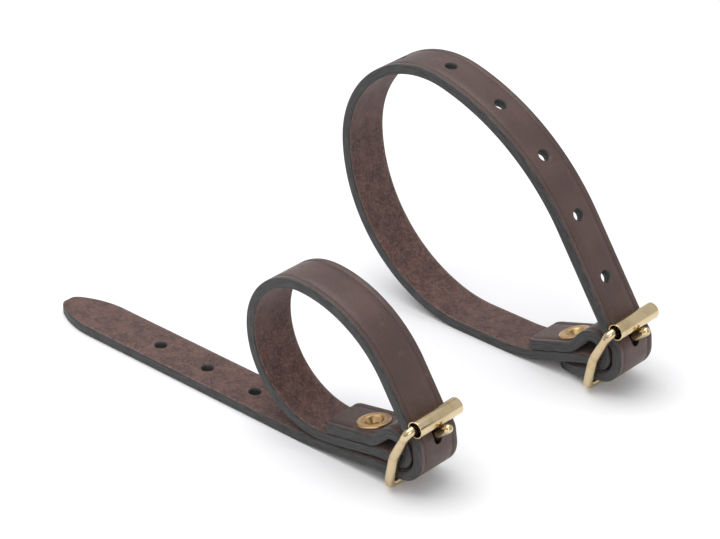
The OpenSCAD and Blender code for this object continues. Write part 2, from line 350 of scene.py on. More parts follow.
@dataclass
class Signal:
    """A shader value that arithmetic can be written on."""

    graph: "Graph"
    socket: bpy.types.NodeSocket

    def _math(self, operation: str, first: object, second: object) -> "Signal":
        """Adds a Math node on two values, and returns its result."""
        return self.graph.node("ShaderNodeMath", {"operation": operation}, {0: first, 1: second})

    def __add__(self, other: object) -> "Signal":
        """Returns self + other."""
        return self._math("ADD", self, other)

    def __sub__(self, other: object) -> "Signal":
        """Returns self - other."""
        return self._math("SUBTRACT", self, other)

    def __mul__(self, other: object) -> "Signal":
        """Returns self * other."""
        return self._math("MULTIPLY", self, other)

    def __rsub__(self, other: object) -> "Signal":
        """Returns other - self."""
        return self._math("SUBTRACT", other, self)

    def __abs__(self) -> "Signal":
        """Returns the value without its sign."""
        return self._math("ABSOLUTE", self, 0.0)

    __radd__ = __add__
    __rmul__ = __mul__


class Graph:
    """One material's node tree, with a Principled shader at its end."""

    def __init__(self, name: str) -> None:
        """Makes an empty material."""
        self.material = bpy.data.materials.new(name)
        self.material.use_nodes = True
        self.tree = self.material.node_tree
        self.shader = self.tree.nodes["Principled BSDF"]

    def node(self, kind: str, settings: dict, inputs: dict, output: object = 0) -> Signal:
        """Adds a node.

        Args:
            kind: The node's type.
            settings: Its settings, set first.
            inputs: Values or signals for its sockets, by name or number.
            output: The socket to return, by name or number.

        Returns:
            The output as a signal.
        """
        made = self.tree.nodes.new(kind)
        stops = settings.pop("stops", None)
        for key, value in settings.items():
            setattr(made, key, value)
        if stops:
            ramp = made.color_ramp
            for at, colour in stops[2:]:
                ramp.elements.new(at)
            for element, (at, colour) in zip(ramp.elements, stops):
                element.position, element.color = at, colour
        for key, value in inputs.items():
            self.feed(made.inputs[key], value)
        return Signal(self, made.outputs[output])

    def feed(self, socket: bpy.types.NodeSocket, value: object) -> None:
        """Links a signal to a socket, or sets the socket to a plain value."""
        if isinstance(value, Signal):
            self.tree.links.new(value.socket, socket)
        else:
            socket.default_value = value

    def place(self) -> Signal:
        """Returns Object coordinates."""
        return self.node("ShaderNodeTexCoord", {}, {}, "Object")

    def noise(self, scale: float, detail: float = 3.0, vector: Signal | None = None,
              rough: float = 0.5) -> Signal:
        """Returns smooth noise about 0.5, with `scale` features to a metre."""
        inputs = {"Vector": vector or self.place(), "Scale": scale, "Detail": detail,
                  "Roughness": rough}
        return self.node("ShaderNodeTexNoise", {}, inputs, 0)

    def mask(self, value: Signal, low: float, high: float) -> Signal:
        """Returns how far a value is from `low` to `high`, from 0 to 1, eased at both ends."""
        settings = {"interpolation_type": "SMOOTHSTEP"}
        return self.node("ShaderNodeMapRange", settings,
                         {"Value": value, "From Min": low, "From Max": high})

    def mix(self, factor: object, first: object, second: object) -> Signal:
        """Returns a colour between two."""
        return self.node("ShaderNodeMix", {"data_type": "RGBA"},
                         {0: factor, 6: first, 7: second}, 2)

    def bump(self, height: Signal, depth: float, strength: float = 1.0) -> None:
        """Raises the surface by a signal, `depth` metres at 1."""
        normal = self.node("ShaderNodeBump", {}, {"Height": height, "Distance": depth,
                                                  "Strength": strength})
        self.feed(self.shader.inputs["Normal"], normal)

    def finish(self, **sockets: object) -> bpy.types.Material:
        """Feeds the shader's sockets, with _ for a space, and returns the material."""
        for name, value in sockets.items():
            self.feed(self.shader.inputs[name.replace("_", " ")], value)
        return self.material


@dataclass(frozen=True)
class GrainFinish:
    """Waxed grain side: close to black-brown, satin, with a burnished crease by each edge."""

    colour: tuple = srgb(80, 58, 51)
    dark: tuple = srgb(58, 40, 35)
    rubbed: tuple = srgb(112, 88, 78)
    roughness: float = 0.46
    crease_in: float = 2.7 * MM
    half_width: float = 10 * MM

    def make(self) -> bpy.types.Material:
        """Returns the material."""
        g = Graph("leather_grain")
        strip = g.node("ShaderNodeUVMap", {"uv_map": STRIP_UV}, {})
        across = abs(g.node("ShaderNodeSeparateXYZ", {}, {"Vector": strip}, "Y"))
        cloud = g.noise(55, 4)
        fine = g.noise(420, 5)
        pores = g.node("ShaderNodeTexVoronoi", {"feature": "DISTANCE_TO_EDGE"},
                       {"Vector": g.place(), "Scale": 1300.0})
        wrinkle = g.noise(1500, 4, rough=0.6)
        tone = g.mask(cloud, 0.35, 0.65)
        base = g.mix(tone * 0.55, self.colour, self.dark)
        crease = 1 - g.mask(abs(across - (self.half_width - self.crease_in)), 0.0, 0.6 * MM)
        base = g.mix(crease * 0.55, base, self.dark)
        worn = g.mask(across, 8.6 * MM, 9.7 * MM) * g.mask(fine, 0.42, 0.62)
        base = g.mix(worn * 0.65, base, self.rubbed)
        scuff = g.mask(g.noise(150, 6, rough=0.7), 0.6, 0.72) * 0.35
        base = g.mix(scuff, base, self.rubbed)
        g.bump(g.mask(pores, 0.0, 0.22) * 0.5 + wrinkle * 0.6 + fine * 0.5, 0.09 * MM)
        return g.finish(Base_Color=base, Roughness=self.roughness + (fine - 0.5) * 0.3,
                        Coat_Weight=0.06, Coat_Roughness=0.3)


@dataclass(frozen=True)
class SuedeFinish:
    """Flesh side: brushed nap, mottled, lighter where it is rubbed along the edges."""

    colour: tuple = srgb(98, 68, 60)
    dark: tuple = srgb(62, 40, 34)
    light: tuple = srgb(138, 108, 98)

    def make(self) -> bpy.types.Material:
        """Returns the material."""
        g = Graph("leather_suede")
        strip = g.node("ShaderNodeUVMap", {"uv_map": STRIP_UV}, {})
        across = abs(g.node("ShaderNodeSeparateXYZ", {}, {"Vector": strip}, "Y"))
        combed = g.node("ShaderNodeMapping", {"vector_type": "POINT"},
                        {"Vector": strip, "Scale": (0.3, 1.0, 1.0)})
        blotch = g.noise(190, 5, rough=0.7)
        nap = g.noise(900, 6, rough=0.8)
        hairs = g.noise(2600, 4, combed, 0.7)
        base = g.mix(g.mask(blotch, 0.32, 0.68), self.dark, self.colour)
        base = g.mix(g.mask(nap, 0.46, 0.68) * 0.6, base, self.light)
        base = g.mix(g.mask(hairs, 0.5, 0.3) * 0.45, base, self.dark)
        rubbed = g.mask(across, 8.4 * MM, 9.6 * MM) * g.mask(nap, 0.35, 0.6)
        base = g.mix(rubbed * 0.6, base, self.light)
        g.bump(hairs * 0.6 + nap * 1.2, 0.35 * MM)
        return g.finish(Base_Color=base, Roughness=0.93, Sheen_Weight=0.25, Sheen_Roughness=0.5,
                        Specular_IOR_Level=0.2)


@dataclass(frozen=True)
class EdgeFinish:
    """Cut edge: dyed grey-black and rubbed, with the leather's layers showing faintly."""

    colour: tuple = srgb(60, 59, 59)
    dark: tuple = srgb(34, 33, 34)
    fibre: tuple = srgb(96, 84, 78)

    def make(self) -> bpy.types.Material:
        """Returns the material."""
        g = Graph("leather_edge")
        strip = g.node("ShaderNodeUVMap", {"uv_map": STRIP_UV}, {})
        along = g.node("ShaderNodeMapping", {"vector_type": "POINT"},
                       {"Vector": strip, "Scale": (0.12, 1.0, 1.0)})
        streak = g.noise(1400, 4, along, 0.65)
        speck = g.noise(900, 5, rough=0.7)
        base = g.mix(g.mask(streak, 0.35, 0.65), self.dark, self.colour)
        base = g.mix(g.mask(speck, 0.56, 0.7) * 0.5, base, self.fibre)
        g.bump(streak * 0.5 + speck * 0.7, 0.1 * MM)
        return g.finish(Base_Color=base, Roughness=0.55 + (speck - 0.5) * 0.4)


@dataclass(frozen=True)
class BrassFinish:
    """Polished pale brass, with fine handling marks and a little tarnish."""

    name: str
    colour: tuple
    tarnish: tuple
    roughness: float
    spread: float

    def make(self) -> bpy.types.Material:
        """Returns the material."""
        g = Graph(self.name)
        cloud = g.noise(130, 5, rough=0.6)
        speck = g.noise(1100, 4, rough=0.65)
        scratch_place = g.node("ShaderNodeMapping", {"vector_type": "POINT"},
                               {"Vector": g.place(), "Scale": (0.08, 1.0, 0.35)})
        scratch = g.noise(5200, 2, scratch_place)
        dulled = g.mask(cloud, 0.45, 0.72) * self.spread
        base = g.mix(dulled, self.colour, self.tarnish)
        base = g.mix(g.mask(speck, 0.62, 0.74) * 0.35, base, self.tarnish)
        rough = self.roughness + dulled * 0.18 + g.mask(scratch, 0.55, 0.75) * 0.08
        g.bump(scratch * 0.5 + speck, 0.012 * MM)
        return g.finish(Base_Color=base, Metallic=1.0, Roughness=rough)


FRAME_BRASS = BrassFinish("brass_frame", srgb(214, 193, 156), srgb(166, 140, 98), 0.2, 0.5)
ROLLER_BRASS = BrassFinish("brass_roller", srgb(216, 196, 156), srgb(168, 142, 98), 0.15, 0.45)
TONGUE_BRASS = BrassFinish("brass_tongue", srgb(220, 200, 158), srgb(170, 144, 98), 0.16, 0.4)
EYELET_BRASS = BrassFinish("brass_eyelet", srgb(206, 172, 122), srgb(150, 124, 96), 0.34, 0.8)

# ---------------------------------------------------------------- mesh tools


def make_object(name: str, bm: bmesh.types.BMesh, materials: list[bpy.types.Material],
                crisp: float = 35.0) -> bpy.types.Object:
    """Turns a bmesh into an object of the scene.

    Args:
        name: The object's name.
        bm: Its shape, in metres. It is freed.
        materials: The materials of its slots.
        crisp: The angle in degrees above which an edge stays sharp.

    Returns:
        The new object.
    """
    mesh = bpy.data.meshes.new(name)
    bm.to_mesh(mesh)
    bm.free()
    for material in materials:
        mesh.materials.append(material)
    for face in mesh.polygons:
        face.use_smooth = True
    mesh.set_sharp_from_angle(angle=math.radians(crisp))
    made = bpy.data.objects.new(name, mesh)
    bpy.context.scene.collection.objects.link(made)
    return made


def lathe(bm: bmesh.types.BMesh, profile: Profile, steps: int = 64, turn: float = 360.0,
          closed: bool = False) -> list[bmesh.types.BMVert]:
    """Spins a profile of (radius, height) about Z, in millimetres.

    Args:
        bm: Where the shape goes.
        profile: The profile's points.
        steps: Steps of the turn.
        turn: Degrees to turn, less than 360 leaves a gap with closed ends.
        closed: Whether the profile's last point joins its first.

    Returns:
        The new vertices.
    """
    before = set(bm.verts)
    points = [bm.verts.new((r * MM, 0, h * MM)) for r, h in profile]
    pairs = list(zip(points, points[1:])) + ([(points[-1], points[0])] if closed else [])
    edges = [bm.edges.new(pair) for pair in pairs]
    whole = turn >= 360
    geometry: list = points + edges
    if not whole and closed:
        geometry.append(bm.faces.new(points))
    bmesh.ops.spin(bm, geom=geometry, cent=(0, 0, 0), axis=(0, 0, 1), dvec=(0, 0, 0),
                   angle=math.radians(min(turn, 360)), steps=steps, use_merge=whole)
    made = [v for v in bm.verts if v not in before]
    bmesh.ops.remove_doubles(bm, verts=made, dist=0.0005 * MM)
    made = [v for v in bm.verts if v not in before]
    faces = {f for v in made for f in v.link_faces}
    bmesh.ops.recalc_face_normals(bm, faces=list(faces))
    return made


def round_corner(points: Profile, radius: float, steps: int = 4) -> Profile:
    """Rounds every corner of a closed profile.

    Args:
        points: The profile's corners.
        radius: The radius to round them to.
        steps: Steps round each corner.

    Returns:
        The rounded profile.
    """
    out: Profile = []
    count = len(points)
    for i, point in enumerate(points):
        here = Vector(point)
        before = (Vector(points[i - 1]) - here)
        after = (Vector(points[(i + 1) % count]) - here)
        cut = min(radius, before.length * 0.45, after.length * 0.45)
        first, last = here + before.normalized() * cut, here + after.normalized() * cut
        for j in range(steps + 1):
            t = j / steps
            mid = first * (1 - t) ** 2 + here * 2 * t * (1 - t) + last * t**2
            out.append((mid.x, mid.y))
    return out


def sweep(bm: bmesh.types.BMesh, path: list[Vector], radii: list[float], sides: int = 28,
          loop: bool = False) -> None:
    """Draws a round rod along a path.

    Args:
        bm: Where the rod goes.
        path: The points of its centre line, in millimetres.
        radii: Its radius at each point.
        sides: The sides of its section.
        loop: Whether the path comes back to its start.
    """
    count = len(path)
    rings: list[list[bmesh.types.BMVert]] = []
    up = Vector((0, 0, 1))
    for i, point in enumerate(path):
        ahead = path[(i + 1) % count] if loop or i + 1 < count else point
        behind = path[i - 1] if loop or i > 0 else point
        along = (ahead - behind).normalized()
        if i == 0:
            up = along.orthogonal().normalized()
        up = (up - along * up.dot(along)).normalized()
        side = along.cross(up)
        turn = Matrix((side, up, along)).transposed().to_4x4()
        spot = Matrix.Translation(point * MM) @ turn @ Matrix.Scale(radii[i] * MM, 4)
        made = bmesh.ops.create_circle(bm, segments=sides, radius=1.0, matrix=spot)
        rings.append(made["verts"])
    pairs = list(zip(rings, rings[1:])) + ([(rings[-1], rings[0])] if loop else [])
    for one, other in pairs:
        edges = {e for v in one + other for e in v.link_edges
                 if not e.link_faces or len(e.link_faces) < 2}
        ring_edges = [e for e in edges if all(v in one for v in e.verts)
                      or all(v in other for v in e.verts)]
        bmesh.ops.bridge_loops(bm, edges=ring_edges)
    if not loop:
        for ring in (rings[0], rings[-1]):
            bmesh.ops.contextual_create(bm, geom=ring)
    bmesh.ops.recalc_face_normals(bm, faces=bm.faces)


def rounded_path(corners: list[Vector], radii: list[float], steps: int = 10) -> list[Vector]:
    """Rounds the corners of a closed flat path with arcs.

    Args:
        corners: The path's corners.
        radii: The radius at each of them.
        steps: Steps round each arc.

    Returns:
        The points of the rounded path.
    """
    out: list[Vector] = []
    for i, corner in enumerate(corners):
        before = (corners[i - 1] - corner).normalized()
        after = (corners[(i + 1) % len(corners)] - corner).normalized()
        half = before.angle(after) / 2
        middle = corner + (before + after).normalized() * (radii[i] / math.sin(half))
        cut = radii[i] / math.tan(half)
        first, last = corner + before * cut - middle, corner + after * cut - middle
        for j in range(steps + 1):
            spoke = first.lerp(last, j / steps)
            out.append(middle + spoke.normalized() * radii[i])
    return out


def sections(bm: bmesh.types.BMesh, outline: list[Vector], frames: list[Matrix],
             ring_done: Callable[[list[bmesh.types.BMVert], int], None]) -> None:
    """Extrudes a closed outline through a row of frames, and caps both ends.

    Args:
        bm: Where the shape goes.
        outline: The outline's points, in the frames' own space.
        frames: Where each section stands.
        ring_done: Called with a ring's vertices and its number, once it is in place.
    """
    ring = [bm.verts.new(frames[0] @ point) for point in outline]
    edges = [bm.edges.new((one, other)) for one, other in zip(ring, ring[1:] + ring[:1])]
    bm.faces.new(ring)
    ring_done(ring, 0)
    for number, (before, frame) in enumerate(zip(frames, frames[1:]), start=1):
        made = bmesh.ops.extrude_edge_only(bm, edges=edges)["geom"]
        ring = [g for g in made if isinstance(g, bmesh.types.BMVert)]
        fresh = set(ring)
        edges = [g for g in made if isinstance(g, bmesh.types.BMEdge)
                 and g.verts[0] in fresh and g.verts[1] in fresh]
        bmesh.ops.transform(bm, matrix=frame @ before.inverted(), verts=ring)
        ring_done(ring, number)
    bmesh.ops.contextual_create(bm, geom=edges)


def on_path(bar: Vector, place: Place) -> Matrix:
    """Returns the frame of a place on the path, with X along it and Z to its left.

    Args:
        bar: The centre bar's place, in metres.
        place: The place about the bar, in millimetres.

    Returns:
        The frame, in metres.
    """
    at = bar + Vector((place[0], 0, place[1])) * MM
    return Matrix.Translation(at) @ Matrix.Rotation(-math.radians(place[2]), 4, "Y")


def place_at(lay: Lay, distance: float) -> Place:
    """Returns the place a distance from the pointed end."""
    place = lay.start()
    for run in lay.runs():
        length = run_length(run)
        if distance <= length:
            return step(place, (0, distance) if run[0] == 0 else
                        (run[0], run[1] * distance / length))
        place, distance = step(place, run), distance - length
    return place


def spaced(path: list[Vector], apart: float) -> list[Vector]:
    """Adds points along a closed path, so that none are more than `apart` from the next."""
    out: list[Vector] = []
    for point, after in zip(path, path[1:] + path[:1]):
        count = max(1, math.ceil((after - point).length / apart))
        out += [point.lerp(after, i / count) for i in range(count)]
    return out


def put(made: bpy.types.Object, body: str, node: str) -> bpy.types.Object:
    """Puts a finished piece on its body, in place of its CAD node.

    Args:
        made: The piece.
        body: The body it moves with.
        node: The CAD node it stands for.

    Returns:
        The piece.
    """
    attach(made, body)
    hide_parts(node)
    log.info("%s: %d faces", made.name, len(made.data.polygons))
    return made


# ---------------------------------------------------------------- the leather


@dataclass
class StrapSection:
    """The leather's section: rubbed corners, and a crease pressed along each grain edge."""

    width: float = 20.0
    thick: float = 3.9
    grain_round: float = 0.75
    flesh_round: float = 0.45
    crease_in: float = 2.7
    crease_half: float = 0.55
    crease_deep: float = 0.3
    corner_steps: int = 4

    def outline(self) -> tuple[list[Vector], list[Side]]:
        """Returns the outline's points, and the side that starts at each of them."""
        half, top = self.width / 2, self.thick / 2
        points: Profile = []
        sides: list[Side] = []

        def corner(across: float, level: float, radius: float, start: float) -> None:
            """Adds a rounded corner that turns by a quarter from `start` degrees."""
            for i in range(self.corner_steps + 1):
                turn = math.radians(start + 90 * i / self.corner_steps)
                points.append((across + radius * math.cos(turn), level + radius * math.sin(turn)))
                sides.append(Side.EDGE)

        corner(half - self.flesh_round, top - self.flesh_round, self.flesh_round, 0)
        sides[-1] = Side.FLESH
        for across in (6.0, 2.5, -2.5, -6.0):
            points.append((across, top))
            sides.append(Side.FLESH)
        corner(self.flesh_round - half, top - self.flesh_round, self.flesh_round, 90)
        corner(self.grain_round - half, self.grain_round - top, self.grain_round, 180)
        sides[-1] = Side.GRAIN
        crease = half - self.crease_in
        groove = [(-1.0, 0.0), (-0.45, 0.75), (0.0, 1.0), (0.45, 0.75), (1.0, 0.0)]
        for middle, inner in ((-crease, (-4.0, 0.0, 4.0)), (crease, ())):
            for along, deep in groove:
                points.append((middle + along * self.crease_half, deep * self.crease_deep - top))
                sides.append(Side.GRAIN)
            for across in inner:
                points.append((across, -top))
                sides.append(Side.GRAIN)
        corner(half - self.grain_round, self.grain_round - top, self.grain_round, 270)
        return [Vector((0, a, z)) * MM for a, z in points], sides


@dataclass
class TipShape:
    """How the strip's ends narrow, in millimetres."""

    nose_r: float = 5.5
    taper: float = 16.5
    clip_r: float = 3.0
    edge_r: float = 0.75

    def half_at(self, distance: float, half: float) -> float:
        """Returns the half width at a distance from the pointed end."""
        shoulder = self.nose_r + self.taper
        if distance >= shoulder:
            return half
        side_r = (self.taper**2 + half**2 - self.nose_r**2) / (2 * (half - self.nose_r))
        joint = math.atan2(side_r - half, -self.taper)
        if distance < self.nose_r * (1 + math.cos(joint)):
            return math.sqrt(self.nose_r**2 - (self.nose_r - distance) ** 2)
        return half - side_r + math.sqrt(side_r**2 - (shoulder - distance) ** 2)

    def flap_half(self, left: float, half: float) -> float:
        """Returns the half width at a distance from the flap's end."""
        if left >= self.clip_r:
            return half
        return half - self.clip_r + math.sqrt(self.clip_r**2 - (self.clip_r - left) ** 2)

    def level(self, distance: float, half: float) -> float:
        """Returns how much of the half thickness there is near an end."""
        if distance >= self.edge_r:
            return 1.0
        fall = self.edge_r - math.sqrt(self.edge_r**2 - (self.edge_r - distance) ** 2)
        return (half - fall) / half


class Strap:
    """One strap's leather, swept along its path and then punched."""

    # Spacing of the sections, in millimetres and degrees, and the extra ones near both ends
    STEP = 1.3
    TURN_STEP = 4.0
    NEAREST = 0.06
    NOSE_MARKS = (0.05, 0.15, 0.35, 0.75, 1.3, 2.0, 2.75, 3.8)
    FLAP_MARKS = (0.02, 0.12, 0.35, 0.75, 1.4, 2.2, 3.0)
    # The slot in the fold, about the centre bar, and the tongue's hole, about the tongue's line
    SLOT_BACK, SLOT_R, SLOT_TOP, SLOT_HALF = 3.7, 6.2, 9.3, 2.1
    SLOT_FRONT = ((4.34, 7.13), (1.86, 9.3))
    HOLE_START, HOLE_DOWN, HOLE_UP = 6.2, 1.4, 0.4

    def __init__(self, name: str, lay: Lay, bar: Vector, materials: list) -> None:
        """Keeps what the strap is made of.

        Args:
            name: The strap's name: small or large.
            lay: How it lies.
            bar: The centre bar's place, in metres.
            materials: The materials of grain, flesh and edge.
        """
        self.name, self.lay, self.bar, self.materials = name, lay, bar, materials
        self.section = StrapSection(lay.width, lay.thick)
        self.ends = TipShape()

    def stations(self) -> list[float]:
        """Returns the distances from the pointed end at which sections stand."""
        total = length_of(self.lay.runs())
        marks = set(self.NOSE_MARKS) | {total - mark for mark in self.FLAP_MARKS}
        start = 0.0
        for run in self.lay.runs():
            length = run_length(run)
            bends = abs(run[1]) / self.TURN_STEP if run[0] else 0
            count = max(1, math.ceil(max(length / self.STEP, bends)))
            marks |= {start + length * i / count for i in range(count + 1)}
            start += length
        kept: list[float] = []
        for mark in sorted(marks):
            inside = self.NOSE_MARKS[0] <= mark <= total - self.FLAP_MARKS[0]
            if inside and (not kept or mark - kept[-1] > self.NEAREST):
                kept.append(mark)
        return kept

    def frame_at(self, distance: float) -> Matrix:
        """Returns a section's frame, narrowed near the strip's ends."""
        half, top = self.lay.width / 2, self.lay.thick / 2
        left = length_of(self.lay.runs()) - distance
        wide = min(self.ends.half_at(distance, half), self.ends.flap_half(left, half)) / half
        high = self.ends.level(distance, top) * self.ends.level(left, top)
        scale = Matrix.Diagonal((1.0, wide, high, 1.0))
        return on_path(self.bar, place_at(self.lay, distance)) @ scale

    def sweep(self) -> bpy.types.Object:
        """Returns the strip without its holes."""
        bm = bmesh.new()
        outline, sides = self.section.outline()
        stations = self.stations()
        number = bm.verts.layers.int.new("number")
        along = bm.verts.layers.float.new("along")

        def mark(ring: list[bmesh.types.BMVert], index: int) -> None:
            """Notes where a ring's vertices are on the strip."""
            for i, vert in enumerate(ring):
                vert[along] = stations[index] * MM
                if index == 0:
                    vert[number] = i

        sections(bm, outline, [self.frame_at(s) for s in stations], mark)
        uv = bm.loops.layers.uv.new(STRIP_UV)
        last = len(outline) - 1
        for face in bm.faces:
            numbers = sorted({vert[number] for vert in face.verts})
            side = Side.EDGE
            if len(numbers) == 2:
                side = sides[last] if numbers == [0, last] else sides[numbers[0]]
            face.material_index = side.value
            for loop in face.loops:
                level = outline[loop.vert[number]].z
                across = loop.vert.co.y - self.bar.y
                loop[uv].uv = (loop.vert[along], level if side is Side.EDGE else across)
        bmesh.ops.recalc_face_normals(bm, faces=bm.faces)
        return make_object(f"{self.name}_leather", bm, self.materials)

    def hole_cutter(self, bm: bmesh.types.BMesh, place: Place) -> None:
        """Adds a punch for one hole, dished where it meets both faces."""
        radius, top = self.lay.hole_r, self.lay.thick / 2
        profile = [(0, -top - 1), (radius + 0.9, -top - 1), (radius + 0.9, -top - 0.25),
                   (radius + 0.55, -top), (radius + 0.2, 0.35 - top), (radius, 0.8 - top),
                   (radius, top - 0.8), (radius + 0.2, top - 0.35), (radius + 0.55, top),
                   (radius + 0.9, top + 0.25), (radius + 0.9, top + 1), (0, top + 1)]
        verts = lathe(bm, profile, 32)
        bmesh.ops.transform(bm, matrix=on_path(self.bar, place), verts=verts)

    def tongue_cutter(self, bm: bmesh.types.BMesh) -> None:
        """Adds the oblong hole that the tongue comes through."""
        radius = self.lay.hole_r
        turn = Matrix.Rotation(math.radians(90 - self.lay.tongue_angle), 4, "Y")
        frame = Matrix.Translation(self.bar) @ turn
        made = bmesh.ops.create_circle(bm, segments=32, radius=radius * MM, cap_ends=True)["verts"]
        for vert in made:
            vert.co.x += (self.HOLE_DOWN if vert.co.x > 0 else -self.HOLE_UP) * MM
            vert.co.z = self.HOLE_START * MM
        self._thicken(bm, made, Vector((0, 0, 2 * self.lay.thick + 2)) * MM, frame)

    def slot_cutter(self, bm: bmesh.types.BMesh) -> None:
        """Adds the slot in the fold, round the tongue's eye."""
        half, start, turn, steps = self.SLOT_HALF, -90, 135, 16
        points = [(-self.SLOT_BACK, self.SLOT_TOP), (-self.SLOT_BACK, -self.SLOT_R)]
        points += [tuple(self.SLOT_R * unit(start + turn * i / steps)) for i in range(1, steps + 1)]
        points += self.SLOT_FRONT
        made = [bm.verts.new((x * MM, -half * MM, z * MM)) for x, z in points]
        bm.faces.new(made)
        self._thicken(bm, made, Vector((0, 2 * half, 0)) * MM, Matrix.Translation(self.bar))

    def _thicken(self, bm: bmesh.types.BMesh, verts: list, depth: Vector, frame: Matrix) -> None:
        """Extrudes a cutter's flat face by `depth`, and puts the cutter in a frame."""
        faces = list({face for vert in verts for face in vert.link_faces})
        made = bmesh.ops.extrude_face_region(bm, geom=faces, use_keep_orig=True)["geom"]
        fresh = [g for g in made if isinstance(g, bmesh.types.BMVert)]
        bmesh.ops.translate(bm, vec=depth, verts=fresh)
        bmesh.ops.transform(bm, matrix=frame, verts=verts + fresh)

    def eyelet_cutter(self, bm: bmesh.types.BMesh) -> None:
        """Adds the eyelet's hole through flap and body."""
        size, top = EyeletSize(), self.lay.thick
        barrel, low, high = size.barrel_r + size.seat, -2 * top - 1.5, top * 0.9
        rim = size.rim_r + 0.1
        profile = [(0, low), (barrel, low), (barrel, -size.dish), (size.dish_r + size.seat, 0),
                   (rim, 0.06), (rim, high), (0, high)]
        verts = lathe(bm, profile, 48)
        bmesh.ops.transform(bm, matrix=self.lay.eyelet_frame(self.bar), verts=verts)

    def punch(self, leather: bpy.types.Object) -> None:
        """Cuts every hole out of the strip, and keeps the result as its mesh."""
        tools = [self.slot_cutter, self.tongue_cutter, self.eyelet_cutter]
        tools += [lambda bm, s=s: self.hole_cutter(bm, place_at(self.lay, s))
                  for s in self.lay.holes()]
        for tool in tools:
            bm = bmesh.new()
            tool(bm)
            bmesh.ops.recalc_face_normals(bm, faces=bm.faces)
            for face in bm.faces:
                face.material_index = Side.EDGE.value
            cutter = make_object("cutter", bm, self.materials)
            cut = leather.modifiers.new("cut", "BOOLEAN")
            cut.operation, cut.solver, cut.object = "DIFFERENCE", "EXACT", cutter
            graph = bpy.context.evaluated_depsgraph_get()
            mesh = bpy.data.meshes.new_from_object(leather.evaluated_get(graph))
            leather.modifiers.clear()
            leather.data = mesh
            bpy.data.objects.remove(cutter)
        for face in leather.data.polygons:
            face.use_smooth = True
        leather.data.set_sharp_from_angle(angle=math.radians(LEATHER_CRISP))

    def build(self) -> bpy.types.Object:
        """Makes the leather and puts it on its body."""
        leather = self.sweep()
        self.punch(leather)
        return put(leather, f"{self.name}_strap", f"{self.name}_strap")


# ---------------------------------------------------------------- the buckle


@dataclass
class BuckleSize:
    """The buckle's sizes, in millimetres and degrees, about the centre bar."""

    bar_r: float = 1.7
    arm_y: float = 12.1
    flare: float = 2.0
    upper_len: float = 15.8
    upper_lean: float = 29.0
    lower_len: float = 13.6
    lower_lean: float = 12.0
    corner_r: float = 2.6
    bend_r: float = 12.0
    path_step: float = 1.5
    boss_r: float = 2.05
    swell_len: float = 11.0
    roller_r: float = 3.25
    roller_wall: float = 0.5
    roller_len: float = 22.4
    tongue_angle: float = 40.0
    tongue_r: float = 1.7
    tongue_reach: float = 20.3
    eye_r: float = 3.2
    eye_w: float = 3.0
    eye_bore_r: float = 1.76


